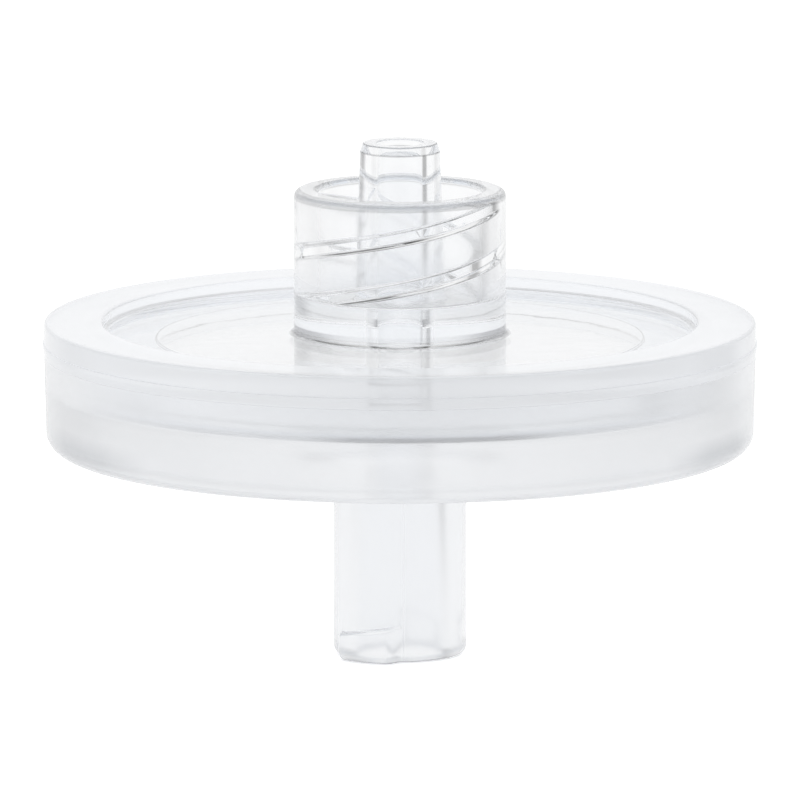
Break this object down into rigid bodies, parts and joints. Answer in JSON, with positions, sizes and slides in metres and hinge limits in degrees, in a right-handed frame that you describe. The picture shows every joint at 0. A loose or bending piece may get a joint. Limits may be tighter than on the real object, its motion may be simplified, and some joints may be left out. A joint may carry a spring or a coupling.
{
  "type": "syringe filter",
  "caption": "Clear disc filter unit with a male luer-lock tip on one side, a lugged female luer port on the other and a flat white membrane inside.",
  "frame": {"origin": "centre of the female port's end face, which is the lowest plane of the part", "axes": "+Z along the flow axis from the female port to the male tip; -Y is the front, on which one locking lug lies to the left"},
  "size_m": [0.035, 0.035, 0.0253],
  "materials": {
    "outlet_plastic": "clear, polished moulding",
    "membrane": "matt white microporous sheet",
    "inlet_plastic": "clear, slightly cloudy moulding"
  },
  "bodies": {
    "root": {"outlet_housing": "outlet_plastic", "filter_membrane": "membrane", "inlet_housing": "inlet_plastic"}
  },
  "joints": []
}
